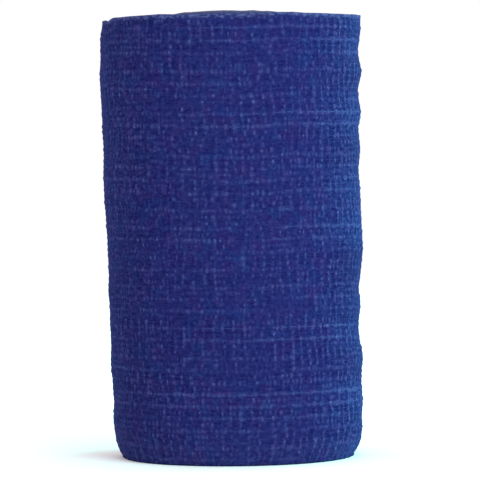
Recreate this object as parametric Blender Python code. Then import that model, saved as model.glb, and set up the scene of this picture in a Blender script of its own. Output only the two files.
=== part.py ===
"""A cohesive crepe bandage, wound on itself into a roll and stood on one end.

Metres, +Z up along the roll, +X to the right and -Y towards the viewer. The origin is at the
middle of the base. A bearing is an angle round the roll, in degrees, from +X towards +Y.
"""

from math import ceil, cos, pi, radians, sin
from typing import NamedTuple

import bmesh
import bpy

MM = 0.001

# Driving sizes
CLOTH_WIDTH = 101.6 * MM  # the cloth is four inches wide, and the roll stands as tall
TOP_RADIUS = 30.35 * MM
BASE_RADIUS = 28.85 * MM
LEAN = 1.25 * MM  # how far the top stands to the left of the base
TURN_THICKNESS = 0.9 * MM  # one turn of the cloth, its puckers included
TAIL_BEARING = 118.0  # where the outer end of the cloth is cut, at the back
EYE_RADIUS = 2.5 * MM  # the small hole left where the winding began

# The foot of the roll is drawn in by FOOT_PULL over the lowest FOOT_HEIGHT.
FOOT_PULL = 1.9 * MM
FOOT_HEIGHT = 7.0 * MM

# Both ends are slightly dished round the eye, and the outer turns make a narrow rim.
DISH_DEPTH = 0.6 * MM
DISH_RADIUS = 9.0 * MM
RIM_WIDTH = 2 * TURN_THICKNESS
RIM_BEVEL = 0.3 * MM

# How finely the surface is divided
SIDES = 72
TAIL_STEP = 1.0  # degrees over which the cut end steps down to the turn below it
LONGEST_WALL_GAP = 2.5 * MM
EYE_GAPS = 3

# How much of each side's waves carries round to the front and back
WAVE_AT_FRONT = 0.3

CLOTH_COLOUR = (0.026, 0.034, 0.170, 1.0)
CLOTH_ROUGHNESS = 0.9


class Section(NamedTuple):
    """At one height, how far the cloth stands out (+) or in (-) of the plain taper, in mm."""

    height: float
    left: float
    right: float


class Rim(NamedTuple):
    """At one bearing, how far the cloth's top edge lies below the roll's highest point, in mm."""

    bearing: float
    drop: float


SECTIONS = (
    Section(height=0.0, left=0.5, right=-0.5),
    Section(height=2.0, left=0.1, right=-0.1),
    Section(height=4.0, left=-0.1, right=-0.2),
    Section(height=6.5, left=-0.2, right=0.0),
    Section(height=9.0, left=0.0, right=0.0),
    Section(height=13.0, left=-0.3, right=0.15),
    Section(height=18.5, left=-0.1, right=-0.15),
    Section(height=22.5, left=0.1, right=0.35),
    Section(height=26.0, left=-0.1, right=-0.3),
    Section(height=30.0, left=-0.1, right=-0.7),
    Section(height=35.5, left=-0.1, right=-0.1),
    Section(height=38.2, left=0.1, right=-0.6),
    Section(height=42.5, left=-0.2, right=0.0),
    Section(height=48.0, left=-0.2, right=0.55),
    Section(height=55.0, left=-0.1, right=0.2),
    Section(height=61.0, left=0.2, right=0.0),
    Section(height=66.2, left=0.2, right=-0.4),
    Section(height=71.0, left=-0.2, right=0.1),
    Section(height=76.0, left=0.0, right=-0.4),
    Section(height=79.5, left=0.0, right=0.3),
    Section(height=84.5, left=0.1, right=-0.4),
    Section(height=88.6, left=0.2, right=0.45),
    Section(height=94.0, left=-0.2, right=-0.3),
    Section(height=98.5, left=-0.4, right=0.35),
    Section(height=101.6, left=-1.0, right=0.35),
)

RIMS = (
    Rim(bearing=0, drop=0.0),
    Rim(bearing=90, drop=0.3),
    Rim(bearing=150, drop=0.5),
    Rim(bearing=198, drop=0.75),
    Rim(bearing=207, drop=0.5),
    Rim(bearing=243, drop=0.65),
    Rim(bearing=262, drop=0.3),
    Rim(bearing=281, drop=0.25),
    Rim(bearing=294, drop=0.6),
    Rim(bearing=311, drop=0.6),
    Rim(bearing=328, drop=0.4),
    Rim(bearing=346, drop=0.0),
    Rim(bearing=360, drop=0.0),
)


def mix(low, high, share):
    return low + (high - low) * share


def eased(rows, place, column):
    """Read a column of a table at a place between two rows, level at each row."""
    for below, above in zip(rows, rows[1:]):
        if place <= above[0]:
            share = (place - below[0]) / (above[0] - below[0])
            return mix(getattr(below, column), getattr(above, column), 0.5 - 0.5 * cos(pi * share))
    return getattr(rows[-1], column)


def turn_share(bearing):
    """How far round the outer turn a bearing lies, from 0 just past the cut end to 1 back at it."""
    return (bearing - TAIL_BEARING) / 360


def wall_radius(bearing, height):
    """The roll's outer radius, about the middle of its base."""
    rise = height / CLOTH_WIDTH
    rightward = cos(radians(bearing))
    taper = mix(BASE_RADIUS, TOP_RADIUS, rise) - LEAN * rise * rightward
    left = eased(SECTIONS, height / MM, "left")
    right = eased(SECTIONS, height / MM, "right")
    wave = mix(left, right, 0.5 + 0.5 * rightward) * mix(WAVE_AT_FRONT, 1.0, rightward**2) * MM
    spiral = TURN_THICKNESS * (turn_share(bearing) - 0.5)
    foot = FOOT_PULL * max(0.0, 1 - height / FOOT_HEIGHT) ** 2
    return taper + wave + spiral - foot


def wall_heights():
    """The heights of the wall's rings: each section, and enough between to keep the gaps short."""
    heights = [0.0]
    for section in SECTIONS[1:]:
        start = heights[-1]
        gap = section.height * MM - start
        steps = ceil(gap / LONGEST_WALL_GAP)
        heights += [start + gap * step / steps for step in range(1, steps + 1)]
    return heights


def profile(bearing, heights):
    """The roll's outline at one bearing, as (radius, height): out along the base, up the wall,
    in along the top and back down the eye."""
    top = CLOTH_WIDTH - eased(RIMS, bearing % 360, "drop") * MM
    base_radius = wall_radius(bearing, 0.0)
    base = [
        (EYE_RADIUS, DISH_DEPTH),
        (DISH_RADIUS, 0.0),
        (mix(DISH_RADIUS, base_radius, 0.5), 0.0),
    ]
    wall = [(wall_radius(bearing, height), height * top / CLOTH_WIDTH) for height in heights[:-1]]
    top_radius = wall_radius(bearing, CLOTH_WIDTH)
    inner_top = CLOTH_WIDTH - DISH_DEPTH
    crown = [
        (top_radius, top - RIM_BEVEL),
        (top_radius - RIM_BEVEL, top),
        (top_radius - RIM_WIDTH, mix(top, inner_top, 0.2)),
        (mix(DISH_RADIUS, top_radius, 0.5), inner_top),
        (DISH_RADIUS, inner_top),
        (EYE_RADIUS, inner_top - DISH_DEPTH),
    ]
    eye = [
        (EYE_RADIUS, mix(inner_top - DISH_DEPTH, DISH_DEPTH, step / EYE_GAPS))
        for step in range(1, EYE_GAPS)
    ]
    return base + wall + crown + eye


def roll_bearings():
    """Bearings once round the outer turn, from just past the cut end back to it."""
    start = TAIL_BEARING + TAIL_STEP
    end = TAIL_BEARING + 360
    return [mix(start, end, side / SIDES) for side in range(SIDES + 1)]


def cloth_material():
    material = bpy.data.materials.new("crepe_cloth")
    material.use_nodes = True
    shader = material.node_tree.nodes["Principled BSDF"]
    shader.inputs["Base Color"].default_value = CLOTH_COLOUR
    shader.inputs["Roughness"].default_value = CLOTH_ROUGHNESS
    shader.inputs["Metallic"].default_value = 0.0
    return material


def centred(columns):
    """Shift the columns of points so that the middle of their box is on the Z axis."""
    points = [point for column in columns for point in column]
    middle_x, middle_y = (
        (min(point[axis] for point in points) + max(point[axis] for point in points)) / 2
        for axis in (0, 1)
    )
    return [[(x - middle_x, y - middle_y, z) for x, y, z in column] for column in columns]


def build_roll():
    heights = wall_heights()
    columns = []
    for bearing in roll_bearings():
        turn = radians(bearing)
        outline = profile(bearing, heights)
        columns.append([(radius * cos(turn), radius * sin(turn), z) for radius, z in outline])
    shape = bmesh.new()
    rows = [[shape.verts.new(point) for point in column] for column in centred(columns)]
    for here, beyond in zip(rows, rows[1:] + rows[:1]):
        for low in range(len(here)):
            high = (low + 1) % len(here)
            shape.faces.new((here[low], beyond[low], beyond[high], here[high]))
    mesh = bpy.data.meshes.new("bandage_roll")
    shape.to_mesh(mesh)
    shape.free()
    mesh.shade_smooth()
    mesh.set_sharp_from_angle(angle=radians(40))
    mesh.materials.append(cloth_material())
    roll = bpy.data.objects.new("bandage_roll", mesh)
    bpy.context.scene.collection.objects.link(roll)
    return roll


def main():
    for old in list(bpy.data.objects):
        bpy.data.objects.remove(old)
    build_roll()


main()
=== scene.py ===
"""The looks of a cohesive crepe bandage, wound into a roll and stood on end.

The bandage is one long strip of cloth, wound about thirty times. Its outer turn carries the rows
and puckers of the crepe as real relief. The turns inside it show their cut edges at both ends of
the roll. Elastic yarns run along the rows, and a little lint stands on the cloth.

Lengths are metres. A bearing is in degrees round the roll, from +X towards +Y. On the outer turn
it is counted on past 360, to 478 at the cut end. A turn count runs from 0 at the eye to
RollForm.turns at the cut end. Along is the way the strip runs, and across is its width, which is
the roll's height. A place across is counted in rows from the bottom edge.
"""

from __future__ import annotations

import logging
import math
from dataclasses import dataclass, field
from enum import Enum
from typing import Any

import bpy
import numpy as np
from mathutils import Euler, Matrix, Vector
from mathutils.bvhtree import BVHTree

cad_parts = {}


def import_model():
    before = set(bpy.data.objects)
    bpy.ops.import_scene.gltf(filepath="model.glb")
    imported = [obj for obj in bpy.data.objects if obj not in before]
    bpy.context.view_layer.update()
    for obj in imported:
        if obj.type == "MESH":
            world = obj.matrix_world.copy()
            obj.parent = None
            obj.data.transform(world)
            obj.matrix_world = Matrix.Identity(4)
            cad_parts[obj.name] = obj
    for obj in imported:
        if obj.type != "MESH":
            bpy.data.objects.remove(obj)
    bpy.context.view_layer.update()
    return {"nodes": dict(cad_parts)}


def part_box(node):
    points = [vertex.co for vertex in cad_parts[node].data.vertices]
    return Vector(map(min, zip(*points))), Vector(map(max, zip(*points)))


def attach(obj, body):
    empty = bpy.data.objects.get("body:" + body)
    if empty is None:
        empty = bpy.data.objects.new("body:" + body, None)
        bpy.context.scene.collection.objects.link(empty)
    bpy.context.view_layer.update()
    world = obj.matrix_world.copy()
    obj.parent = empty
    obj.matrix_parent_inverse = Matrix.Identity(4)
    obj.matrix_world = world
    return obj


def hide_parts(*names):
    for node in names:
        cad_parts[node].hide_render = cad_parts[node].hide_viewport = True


MM = 0.001
NODE = "bandage_roll"
BODY = "root"
FLAT_MAP = "OFBake"

# The Mix node's places for its two colours, and for the one that comes out
COLOUR_LOW, COLOUR_HIGH, COLOUR_OUT = 6, 7, 2

# Lattices are read up to this many cells short of their count of points, so that every place
# has a next point
LATTICE_END = 1.001

# Threads whose level part is shorter than this share are taken as upright
UPRIGHT = 1e-4

log = logging.getLogger("bandage")

Array = np.ndarray
Colour = tuple[float, float, float, float]


def made() -> Any:
    """A field that its class works out for itself."""
    return field(init=False, repr=False)


# ---------------------------------------------------------------- numbers


class Seed(Enum):
    """The seed of each kind of unevenness."""

    DRIFT = 11
    DRIFT_FINE = 12
    BLOTCH = 13
    PUCKER_SIZE = 14
    CALM = 15
    YARN_WANDER = 16
    YARN_RISE = 17
    EDGE = 18
    INNER = 19
    LINT = 20
    ROW_GLOW = 22
    ROW_WANDER = 23
    TURNS = 24

    def draws(self) -> np.random.Generator:
        """A new source of its random draws."""
        return np.random.default_rng(self.value)


def mix(low: Array | float, high: Array | float, share: Array | float) -> Array | float:
    """Blend from low to high as share goes from 0 to 1."""
    return low + (high - low) * share


def eased(share: Array) -> Array:
    """Ease a share between 0 and 1, level at both ends."""
    return share * share * (3 - 2 * share)


def ramp(value: Array, start: float, end: float) -> Array:
    """How far a value has come from start to end, eased and kept between 0 and 1."""
    return eased(np.clip((value - start) / (end - start), 0, 1))


def plateau(value: Array, start: float, end: float, easing: float) -> Array:
    """A share that is 1 between start and end, less an easing inside each, and 0 beyond them."""
    return ramp(value, start, start + easing) * ramp(value, end, end - easing)


def hump(value: Array, middle: float, spread: float) -> Array:
    """A bell-shaped share, which is 1 where a value is at the middle."""
    return np.exp(-(((value - middle) / spread) ** 2))


def crested(count: Array) -> Array:
    """A wave that is 1 at whole counts and 0 halfway between them."""
    return 0.5 + 0.5 * np.cos(2 * math.pi * count)


def lattice_read(lattice: Array, column: Array, row: Array, ease: bool = True) -> Array:
    """Read a lattice of values between its points.

    Args:
        lattice: Values, by column and row.
        column: Where to read, counted in columns.
        row: Where to read, counted in rows.
        ease: Whether the value is level at each lattice point.

    Returns:
        The values, in the common shape of column and row.
    """
    column = np.clip(column, 0, lattice.shape[0] - LATTICE_END)
    row = np.clip(row, 0, lattice.shape[1] - LATTICE_END)
    left, low = column.astype(int), row.astype(int)
    u, v = column - left, row - low
    if ease:
        u, v = eased(u), eased(v)
    below = mix(lattice[left, low], lattice[left + 1, low], u)
    above = mix(lattice[left, low + 1], lattice[left + 1, low + 1], u)
    return mix(below, above, v)


@dataclass
class SmoothNoise:
    """Seeded noise between -1 and 1, smooth from cell to cell.

    Args:
        seed: The seed of its random draws.
        cell: A cell's size along and across the cloth.
        reach: How far along and across the cloth it goes.
    """

    seed: Seed
    cell: tuple[float, float]
    reach: tuple[float, float]
    lattice: Array = made()

    def __post_init__(self) -> None:
        """Draw the lattice."""
        shape = [math.ceil(reach / cell) + 2 for reach, cell in zip(self.reach, self.cell)]
        self.lattice = self.seed.draws().uniform(-1, 1, shape)

    def at(self, along: Array, across: Array) -> Array:
        """The noise at places along and across the cloth."""
        return lattice_read(self.lattice, along / self.cell[0], across / self.cell[1])


@dataclass(frozen=True)
class Profile:
    """A value that runs straight from each of its marks to the next.

    Args:
        marks: Places, each with the value there, in order.
        unit: How much a value of 1 stands for.
    """

    marks: tuple[tuple[float, float], ...]
    unit: float = MM

    def at(self, place: Array | float) -> Array:
        """The values at some places."""
        return np.interp(place, *zip(*self.marks)) * self.unit

    def around(self, bearing: Array) -> Array:
        """The values at bearings, where the marks' places are bearings that go once round."""
        return self.at((bearing - self.marks[0][0]) % 360 + self.marks[0][0])


# ---------------------------------------------------------------- meshes


@dataclass
class Tubes:
    """Closed tubes, each skinned over its own stack of closed rings of points.

    Args:
        name: The name of the piece that they become.
        rings: Points, by tube, station, place round the ring, and axis.
        layers: Values to store at the points, by tube, station and place.
        crossed: Whether the faces are triangles whose slants take turns, for fine relief.
        folds: How many strips each tube is cut into on the flat map.
        margin: How much of a strip's size is kept clear at its edges there.
        tall: How many times as many strips lie one way as the other there, with many tubes.
        cap_size: How big a tube's caps are there, as a share of the margin.
        cap_middles: How far across a strip its two caps lie there.
    """

    name: str
    rings: Array
    layers: dict[str, Array]
    crossed: bool = False
    folds: int = 1
    margin: float = 0.02
    tall: int = 8
    cap_size: float = 0.4
    cap_middles: tuple[float, float] = (0.25, 0.75)
    index: Array = made()

    def __post_init__(self) -> None:
        """Number the points."""
        shape = self.rings.shape[:3]
        self.index = np.arange(math.prod(shape)).reshape(shape)

    def _corners(self) -> tuple[Array, Array]:
        """Find the four corners of each face between two rings.

        Returns:
            Point indices by tube, station, side and corner, and flat-map places likewise.
        """
        tubes, stations, sides = self.index.shape
        here, beyond = self.index[:, :-1], self.index[:, 1:]
        corners = [here, beyond, np.roll(beyond, -1, axis=2), np.roll(here, -1, axis=2)]
        per_fold = math.ceil((stations - 1) / self.folds)
        tube, gap, side, _ = np.ogrid[:tubes, : stations - 1, :sides, :1]
        u = (gap % per_fold + np.array([0, 1, 1, 0])) / per_fold
        v = (side + np.array([0, 0, 1, 1])) / sides
        return np.stack(corners, axis=-1), self._on_map(tube * self.folds + gap // per_fold, u, v)

    def _on_map(self, strip: Array, u: Array, v: Array) -> Array:
        """Place points of a strip on the flat map, where the strips are tiled.

        Args:
            strip: Which strip each is on.
            u: Its share along the strip.
            v: Its share across the strip.

        Returns:
            Places from 0 to 1, with a last axis of two.
        """
        tubes = len(self.rings)
        columns = round(math.sqrt(tubes * self.folds / self.tall)) if tubes > 1 else 1
        rows = math.ceil(tubes * self.folds / columns)
        across = (strip % columns + mix(self.margin, 1 - self.margin, u)) / columns
        down = (strip // columns + mix(self.margin, 1 - self.margin, v)) / rows
        return np.stack(np.broadcast_arrays(across, down), axis=-1)

    def _caps(self) -> tuple[list[list[int]], Array]:
        """Close each tube's two ends.

        Returns:
            The faces, and their corners' places on the flat map, beside the tube's strip.
        """
        tubes, _, sides = self.index.shape
        faces = self.index[:, 0].tolist() + self.index[:, -1, ::-1].tolist()
        turn = np.arange(sides) * 2 * math.pi / sides
        strip = np.tile(np.arange(tubes), 2)[:, None] * self.folds
        middle = np.repeat(self.cap_middles, tubes)[:, None]
        size = self.cap_size * self.margin
        u, v = size * np.cos(turn) - self.margin / 2, size * np.sin(turn) + middle
        return faces, self._on_map(strip, u, v).reshape(-1, 2)

    def build(self, material: bpy.types.Material) -> bpy.types.Object:
        """Make the piece, and set it on the roll's body.

        Args:
            material: The piece's finish.

        Returns:
            A smooth-shaded mesh object with a flat map, linked to the scene.
        """
        corners, places = self._corners()
        picks = [[0, 1, 2, 3]]
        if self.crossed:
            odd = np.add.outer(*map(np.arange, corners.shape[1:3]))[..., None] % 2 == 1
            corners = np.where(odd, np.roll(corners, -1, axis=-1), corners)
            places = np.where(odd[..., None], np.roll(places, -1, axis=-2), places)
            picks = [[0, 1, 2], [0, 2, 3]]
        faces = np.concatenate([corners[..., pick].reshape(-1, len(pick)) for pick in picks])
        caps, cap_places = self._caps()
        flat = [places[..., pick, :].reshape(-1, 2) for pick in picks] + [cap_places]
        mesh = bpy.data.meshes.new(self.name)
        mesh.from_pydata(self.rings.reshape(-1, 3).tolist(), [], faces.tolist() + caps)
        bake = mesh.uv_layers.new(name=FLAT_MAP)
        bake.data.foreach_set("uv", np.concatenate(flat).astype(np.float32).ravel())
        for layer, values in self.layers.items():
            stored = mesh.attributes.new(layer, "FLOAT", "POINT")
            whole = np.broadcast_to(values, self.index.shape).astype(np.float32)
            stored.data.foreach_set("value", whole.ravel())
        mesh.shade_smooth()
        mesh.materials.append(material)
        thing = bpy.data.objects.new(self.name, mesh)
        bpy.context.scene.collection.objects.link(thing)
        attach(thing, BODY)
        return thing


def threads(line: Array, radius: Array, sides: int) -> Array:
    """Put a ring of points round each point of some lines.

    Args:
        line: Points, by line, station and axis.
        radius: The thread's radius, by line and station.
        sides: How many points a ring has.

    Returns:
        Rings, by line, station, place round the ring, and axis.
    """
    tangent = np.gradient(line, axis=1)
    tangent /= np.linalg.norm(tangent, axis=-1, keepdims=True)
    side = np.cross(tangent, (0.0, 0.0, 1.0))
    length = np.linalg.norm(side, axis=-1, keepdims=True)
    side = np.where(length > UPRIGHT, side / np.maximum(length, UPRIGHT), (1.0, 0.0, 0.0))
    up = np.cross(side, tangent)
    turn = np.arange(sides)[:, None] * 2 * math.pi / sides
    spread = side[:, :, None] * np.cos(turn) + up[:, :, None] * np.sin(turn)
    return line[:, :, None] + spread * radius[:, :, None, None]


# ---------------------------------------------------------------- the wound form


@dataclass
class RollForm:
    """The spiral in which the cloth is wound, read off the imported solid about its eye."""

    solid: bpy.types.Object
    tail_bearing: float = 118.0
    tail_step: float = 1.0
    turn_thickness: float = 0.9 * MM
    eye_radius: float = 2.5 * MM
    bearings: int = 180
    levels: int = 112
    end_skip: float = 0.5 * MM
    tuck: float = 0.8 * MM
    tuck_height: float = 4.5 * MM
    tuck_bearing: float = 190.0
    tuck_spread: float = 32.0
    height: float = made()
    centre: Vector = made()
    turns: int = made()
    wall: Array = made()
    brim: Array = made()

    def __post_init__(self) -> None:
        """Measure the solid."""
        low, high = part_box(NODE)
        self.height = high.z - low.z
        mesh = self.solid.data
        points = [point.co for point in mesh.vertices]
        tree = BVHTree.FromPolygons(points, [tuple(face.vertices) for face in mesh.polygons])
        self.centre = self._eye_middle(tree)
        self.wall = self._cast_wall(tree)
        self.brim = self._cast_brim(tree)
        depth = self.wall.mean() + self.turn_thickness / 2 - self.eye_radius
        self.turns = round(depth / self.turn_thickness)

    def _eye_middle(self, tree: BVHTree) -> Vector:
        """Find the middle of the eye, from four rays inside it.

        Args:
            tree: The solid's faces.

        Returns:
            The middle, at the height of the base.
        """
        start = Vector((0, 0, self.height / 2))
        ways = ((1, 0, 0), (-1, 0, 0), (0, 1, 0), (0, -1, 0))
        right, left, back, front = (tree.ray_cast(start, Vector(way))[0] for way in ways)
        return Vector(((right.x + left.x) / 2, (back.y + front.y) / 2, 0))

    def _measured(self) -> list[tuple[Vector, float]]:
        """Choose where the outer turn is measured.

        Returns:
            Outward directions, each with what the spiral adds to the radius there.
        """
        found = []
        start, end = self.tail_bearing + self.tail_step, self.tail_bearing + 360
        for share in (np.arange(self.bearings) + 0.5) / self.bearings:
            bearing = math.radians(mix(start, end, share))
            way = Vector((math.cos(bearing), math.sin(bearing), 0))
            found.append((way, self.turn_thickness * (share - 0.5)))
        return found

    def _levels(self) -> tuple[float, float]:
        """The lowest and highest level that the wall is measured at."""
        return self.end_skip, self.height - 3 * self.end_skip

    def _cast_wall(self, tree: BVHTree) -> Array:
        """Measure the wall's radius, less what the spiral adds to it.

        Args:
            tree: The solid's faces.

        Returns:
            Radii, by bearing and level, closed round the roll and smoothed a little.
        """
        reach = 2 * self.height
        rows = []
        for way, added in self._measured():
            starts = [
                self.centre + way * reach + Vector((0, 0, height))
                for height in np.linspace(*self._levels(), self.levels)
            ]
            rows.append([reach - tree.ray_cast(start, -way)[3] - added for start in starts])
        wall = np.array(rows)
        for _ in range(2):
            wall = (np.roll(wall, 1, axis=0) + wall + np.roll(wall, -1, axis=0)) / 3
        return np.vstack([wall, wall[:2]])

    def _cast_brim(self, tree: BVHTree) -> Array:
        """Measure the height of the top edge.

        Args:
            tree: The solid's faces.

        Returns:
            Heights by bearing, closed round the roll.
        """
        brim = []
        for row, (way, added) in enumerate(self._measured()):
            radius = self.wall[row, -1] + added - self.turn_thickness
            start = self.centre + way * radius + Vector((0, 0, 2 * self.height))
            brim.append(2 * self.height - tree.ray_cast(start, Vector((0, 0, -1)))[3])
        return np.array(brim + brim[:2])

    def _column(self, turn: Array) -> Array:
        """Where in the measured tables a turn count lies."""
        share = (turn % 1.0) * 360 / (360 - self.tail_step) - self.tail_step / 360
        return np.mod(share * self.bearings - 0.5, self.bearings)

    def top(self, turn: Array) -> Array:
        """The height of the top edge at a turn count."""
        return np.interp(self._column(turn), np.arange(len(self.brim)), self.brim)

    def radius(self, turn: Array, height: Array) -> Array:
        """Find the outer face of the cloth on the spiral.

        Args:
            turn: Turn counts.
            height: Heights above the surface that the roll stands on.

        Returns:
            Distances from the middle of the eye.
        """
        low, high = self._levels()
        level = (height - low) / (high - low) * (self.levels - 1)
        wall = lattice_read(self.wall, self._column(turn), level, ease=False)
        tucked = self.tuck * hump(self.bearing(turn) % 360, self.tuck_bearing, self.tuck_spread)
        tucked = tucked * np.clip(1 - height / self.tuck_height, 0, 1) ** 2
        depth = wall - tucked + self.turn_thickness / 2 - self.eye_radius
        return self.eye_radius + depth * turn / self.turns

    def place(self, turn: Array, height: Array, radius: Array) -> Array:
        """Turn places on the spiral into points.

        Args:
            turn: Turn counts.
            height: Heights.
            radius: Distances from the middle of the eye.

        Returns:
            Points, with a last axis of three.
        """
        bearing = np.radians(self.bearing(turn))
        x = self.centre.x + radius * np.cos(bearing)
        y = self.centre.y + radius * np.sin(bearing)
        return np.stack(np.broadcast_arrays(x, y, height), axis=-1)

    def bearing(self, turn: Array | float) -> Array | float:
        """The bearing of a turn count, counted on over the outer turn to its cut end."""
        return self.tail_bearing + 360 * (turn - self.turns + 1)


# ---------------------------------------------------------------- the cloth


# Yarns that stand out as thin bright lines: by the yarn's row, the bearings where each stretch
# of it comes out and sinks in again (490 lies past the cut end), and how strongly it shows
PROUD_YARNS = {
    73: ((216, 227, 0.6), (242, 334, 0.55)),
    71: ((212, 226, 0.3), (246, 304, 0.45), (304, 350, 0.8)),
    69: ((326, 350, 0.7),),
    66: ((304, 316, 0.35), (390, 455, 1.0)),
    64: ((242, 262, 0.5), (380, 430, 0.7)),
    63: ((212, 236, 0.45),),
    61: ((328, 350, 0.8),),
    59: ((242, 286, 0.5), (286, 352, 1.0)),
    57: ((218, 262, 0.35), (262, 345, 0.8)),
    50: ((330, 352, 0.7),),
    48: ((222, 232, 0.4), (256, 294, 0.4), (326, 350, 0.7), (440, 490, 0.8)),
    46: ((300, 340, 0.6), (455, 490, 0.6)),
    43: ((296, 314, 0.4),),
    40: ((290, 342, 0.8),),
    38: ((232, 254, 0.4), (280, 328, 0.7)),
    30: ((370, 470, 0.8),),
    28: ((226, 244, 0.4), (395, 445, 0.6)),
    23: ((228, 284, 0.45), (284, 334, 0.9)),
    21: ((262, 328, 0.7),),
    16: ((140, 215, 0.7),),
    12: ((222, 288, 0.65), (288, 350, 0.9)),
    10: ((224, 258, 0.6), (264, 300, 0.35), (300, 345, 0.8)),
    8: ((246, 332, 0.6),),
    6: ((260, 282, 0.35),),
}

# The rows whose yarns lie near the face, most of them two rows apart
NEAR_ROWS = (
    *(1, 3, 6, 8, 10, 12, 14, 16, 18, 21, 23, 26, 28, 30, 33, 36, 38, 40),
    *(43, 46, 48, 50, 52, 55, 57, 59, 62, 64, 66, 69, 71, 73),
)

# The rows that are paler than the rest
PALE_ROWS = (10, 11, 12)

# How high the rows lie where the edges are level, in millimetres: the cloth is stretched a
# little unevenly
ROW_HEIGHTS = Profile(
    (
        *((0, 0.0), (7, 9.4), (15, 20.2), (23, 31.0), (31, 41.6)),
        *((39, 52.3), (47, 63.0), (63, 84.7), (71, 95.6), (75, 101.3)),
    )
)

# How far the outer turn's top edge stands above the plain rim, in millimetres, by bearing
EDGE_RISE = Profile(
    (
        *((40, 0.0), (150, 0.0), (172, 0.30), (190, 0.20), (194, 0.14), (198, -0.14)),
        *((200.5, -0.32), (203, -0.09), (205, 0.11), (213, 0.0), (226, 0.05), (232, 0.11)),
        *((237, 0.24), (243, 0.20), (247, 0.10), (252, -0.04), (266, 0.07), (270, 0.01)),
        *((274.5, -0.14), (279, 0.02), (283.5, -0.21), (288, 0.26), (293, 0.36), (297, 0.35)),
        *((303, 0.14), (314, 0.16), (321, 0.09), (329, 0.14), (347, 0.14), (353, 0.30)),
        *((360, 0.50), (372, 0.50), (400, 0.0)),
    )
)

# How full the outer turn is to the right of its front, from -1 to 1, by height in millimetres; the same
# table sets the painted side light on the cloth there
SWELLS = Profile(
    (
        *((0, 0.0), (5, -0.2), (11, 0.65), (15.5, 1.0), (20, -0.5), (24, -0.4), (29, 0.5)),
        *((36, -0.3), (41, -0.9), (46.5, -0.8), (53, 0.9), (58, 0.2), (62.5, 0.7)),
        *((70.5, -0.9), (78.5, 0.9), (85.5, -0.7), (93, -0.3), (102, 0.0)),
    ),
    unit=1.0,
)


@dataclass(frozen=True)
class Hang:
    """How the rows hang round one bearing.

    Args:
        depth: How far below level they hang, by row.
        bearing: The bearing where they hang so far.
        spread: How far round the roll it reaches to each side.
    """

    depth: Profile
    bearing: float
    spread: float

    def at(self, place: Array, bearing: Array) -> Array:
        """How far below level the cloth hangs at places across it and bearings."""
        away = (bearing - self.bearing + 180) % 360 - 180
        return self.depth.at(place) * hump(away, 0, self.spread)


# The rows sag at the front, hang lower at the right and are drawn up at the left (by row, in
# millimetres).
HANGS = (
    Hang(
        Profile(
            (
                *((0, 0.0), (7, 0.1), (15, 0.35), (23, 0.2), (31, 0.45)),
                *((39, 0.65), (47, 0.92), (63, 0.92), (71, 0.86), (75, 0.62)),
            )
        ),
        bearing=268,
        spread=27,
    ),
    Hang(
        Profile(((0, 0.0), (7, 0.4), (15, 0.75), (23, 0.9), (31, 0.85), (39, 0.65), (47, 0.0))),
        bearing=0,
        spread=26,
    ),
    Hang(
        Profile(((31, 0.0), (39, -0.25), (47, -0.65), (63, -0.7), (71, -0.55), (75, 0.0))),
        bearing=192,
        spread=26,
    ),
)

# How far each of the crepe's smooth kinds of unevenness reaches along and across the cloth
CREPE_CELLS = {
    Seed.DRIFT: (8 * MM, 24 * MM),
    Seed.DRIFT_FINE: (3 * MM, 6 * MM),
    Seed.CALM: (9 * MM, 6 * MM),
    Seed.TURNS: (8 * MM, 1.9 * MM),
    Seed.BLOTCH: (1.6 * MM, 1.9 * MM),
}


@dataclass(frozen=True)
class BetweenRows:
    """How the cloth lies halfway between two rows.

    Args:
        level: How high it lies, where a row lies at Crepe.level.
        size: How big its puckers are, where a row's are 1.
    """

    level: float
    size: float


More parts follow.
